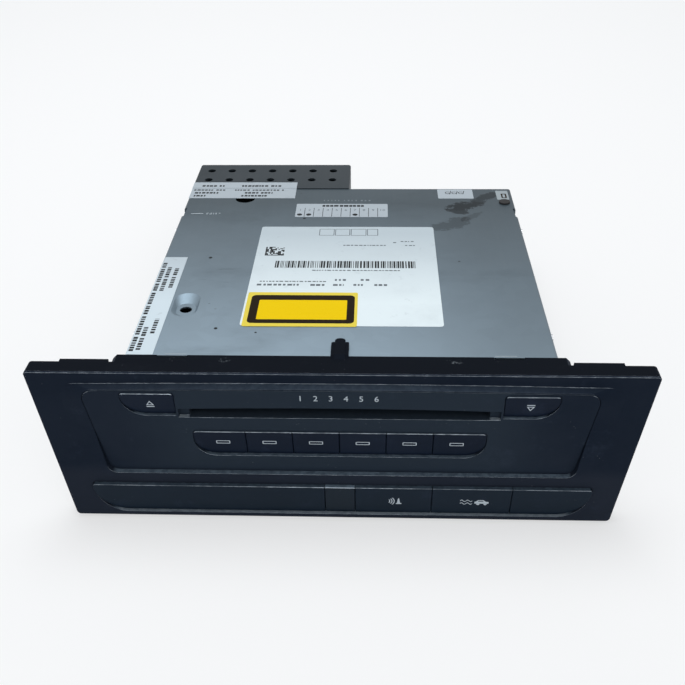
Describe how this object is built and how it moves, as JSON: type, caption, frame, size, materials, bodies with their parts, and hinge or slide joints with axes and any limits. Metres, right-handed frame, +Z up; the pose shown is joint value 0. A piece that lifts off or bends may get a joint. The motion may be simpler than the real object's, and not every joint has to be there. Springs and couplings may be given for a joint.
{
  "type": "car disc changer",
  "caption": "In-dash car disc changer: dark tapered face with a leaning control island, disc slot and key rows, zinc-plated housing and a perforated connector hood behind.",
  "frame": {"origin": "bottom centre of the whole unit's bounding box", "axes": "+X along the face to the driver's right, +Y into the dash, +Z up"},
  "size_m": [0.2524, 0.2248, 0.076],
  "materials": {
    "black_moulding": "fine-grained black moulding",
    "black_keys": "fine-grained black key caps",
    "dark_window": "dark tinted window",
    "black_nylon": "black nylon",
    "zinc_sheet": "zinc-plated sheet",
    "dark_zinc_sheet": "duller zinc-plated sheet",
    "green_board": "solder-masked board",
    "switch_body": "black switch body",
    "steel": "bright steel",
    "black_rubber": "black rubber",
    "white_acetal": "white acetal",
    "motor_can": "plain motor can",
    "grey_plastic": "grey glass-filled plastic",
    "brass_pins": "tinned contact pins",
    "brown_plastic": "brown socket plastic",
    "lens_glass": "pickup lens",
    "flat_cable": "flat cable",
    "chip_black": "chip packages",
    "capacitor_can": "capacitor cans"
  },
  "bodies": {
    "unit": {"front_bezel": "black_moulding", "control_panel": "black_moulding", "switch_blank_left": "black_keys", "indicator_window": "dark_window", "switch_blank_right": "black_keys", "switch_housing": "black_nylon", "switch_board": "green_board", "switch_tacts": "switch_body", "control_board": "green_board", "control_tacts": "switch_body", "chassis_tray": "zinc_sheet", "top_cover": "zinc_sheet", "transit_plug": "black_rubber", "connector_hood": "dark_zinc_sheet", "mechanism_deck": "zinc_sheet", "deck_dampers": "black_rubber", "roller_bushes": "white_acetal", "load_motor": "motor_can", "disc_guide": "black_nylon", "main_board": "green_board", "board_screws": "steel", "board_chips": "chip_black", "board_capacitors": "capacitor_can", "power_socket": "black_nylon", "power_pins": "brass_pins", "optical_socket": "brown_plastic", "board_cable": "flat_cable", "cover_screws": "steel", "collar_screws": "steel"},
    "eject_button": {"eject_button": "black_keys"},
    "load_button": {"load_button": "black_keys"},
    "disc_button_1": {"disc_button_1": "black_keys"},
    "disc_button_2": {"disc_button_2": "black_keys"},
    "disc_button_3": {"disc_button_3": "black_keys"},
    "disc_button_4": {"disc_button_4": "black_keys"},
    "disc_button_5": {"disc_button_5": "black_keys"},
    "disc_button_6": {"disc_button_6": "black_keys"},
    "parking_button": {"parking_button": "black_keys"},
    "stability_button": {"stability_button": "black_keys"},
    "shutter": {"slot_shutter": "black_nylon"},
    "roller": {"roller_shaft": "steel", "feed_roller": "black_rubber", "roller_gear": "white_acetal"},
    "idler": {"idler_gear": "white_acetal"},
    "motor_rotor": {"motor_shaft": "steel", "motor_pinion": "white_acetal"},
    "stack": {"disc_carriers": "grey_plastic"},
    "arm": {"swing_arm": "grey_plastic", "sled_rods": "steel", "spindle_motor": "motor_can"},
    "sled": {"pickup_sled": "grey_plastic", "pickup_lens": "lens_glass"},
    "screw": {"lead_screw": "steel"},
    "turntable": {"turntable": "black_nylon"}
  },
  "joints": [
    {"name": "eject_press", "type": "slide", "parent": "unit", "child": "eject_button", "axis": [0, 1, 0], "range_m": [0, 0.0009], "stiffness_N_per_m": 600},
    {"name": "load_press", "type": "slide", "parent": "unit", "child": "load_button", "axis": [0, 1, 0], "range_m": [0, 0.0009], "stiffness_N_per_m": 600},
    {"name": "disc_press_1", "type": "slide", "parent": "unit", "child": "disc_button_1", "axis": [0, 1, 0], "range_m": [0, 0.0009], "stiffness_N_per_m": 600},
    {"name": "disc_press_2", "type": "slide", "parent": "unit", "child": "disc_button_2", "axis": [0, 1, 0], "range_m": [0, 0.0009], "stiffness_N_per_m": 600},
    {"name": "disc_press_3", "type": "slide", "parent": "unit", "child": "disc_button_3", "axis": [0, 1, 0], "range_m": [0, 0.0009], "stiffness_N_per_m": 600},
    {"name": "disc_press_4", "type": "slide", "parent": "unit", "child": "disc_button_4", "axis": [0, 1, 0], "range_m": [0, 0.0009], "stiffness_N_per_m": 600},
    {"name": "disc_press_5", "type": "slide", "parent": "unit", "child": "disc_button_5", "axis": [0, 1, 0], "range_m": [0, 0.0009], "stiffness_N_per_m": 600},
    {"name": "disc_press_6", "type": "slide", "parent": "unit", "child": "disc_button_6", "axis": [0, 1, 0], "range_m": [0, 0.0009], "stiffness_N_per_m": 600},
    {"name": "parking_press", "type": "slide", "parent": "unit", "child": "parking_button", "axis": [0, 1, 0], "range_m": [0, 0.0014], "stiffness_N_per_m": 600},
    {"name": "stability_press", "type": "slide", "parent": "unit", "child": "stability_button", "axis": [0, 1, 0], "range_m": [0, 0.0014], "stiffness_N_per_m": 600},
    {"name": "shutter_swing", "type": "hinge", "parent": "unit", "child": "shutter", "pos_m": [0, -0.09975, 0.0615], "axis": [1, 0, 0], "range_deg": [0, 70], "stiffness_Nm_per_rad": 0.0004},
    {"name": "roller_spin", "type": "hinge", "parent": "unit", "child": "roller", "pos_m": [0, -0.08705, 0.05225], "axis": [1, 0, 0], "continuous": true},
    {"name": "idler_spin", "type": "hinge", "parent": "unit", "child": "idler", "pos_m": [0.0816, -0.07702, 0.0403], "axis": [1, 0, 0], "continuous": true},
    {"name": "motor_spin", "type": "hinge", "parent": "unit", "child": "motor_rotor", "pos_m": [0.0816, -0.06424, 0.04495], "axis": [1, 0, 0], "continuous": true},
    {"name": "stack_lift", "type": "slide", "parent": "unit", "child": "stack", "axis": [0, 0, 1], "range_m": [0, 0.014]},
    {"name": "arm_swing", "type": "hinge", "parent": "unit", "child": "arm", "pos_m": [-0.072, -0.06555, 0.046], "axis": [0, 0, 1], "range_deg": [0, 47.29]},
    {"name": "sled_feed", "type": "slide", "parent": "arm", "child": "sled", "axis": [-1, 0, 0], "range_m": [0, 0.0335]},
    {"name": "screw_spin", "type": "hinge", "parent": "arm", "child": "screw", "pos_m": [-0.054, -0.07895, 0.0506], "axis": [1, 0, 0], "range_deg": [0, 4030]},
    {"name": "turntable_spin", "type": "hinge", "parent": "arm", "child": "turntable", "pos_m": [0.03415, -0.06555, 0.05565], "axis": [0, 0, 1], "continuous": true}
  ],
  "couplings": [
    {"joint": "idler_spin", "follows": "roller_spin", "ratio": -0.625},
    {"joint": "motor_spin", "follows": "roller_spin", "ratio": 1.5},
    {"joint": "screw_spin", "follows": "sled_feed", "rad_per_m": 2094.4}
  ]
}
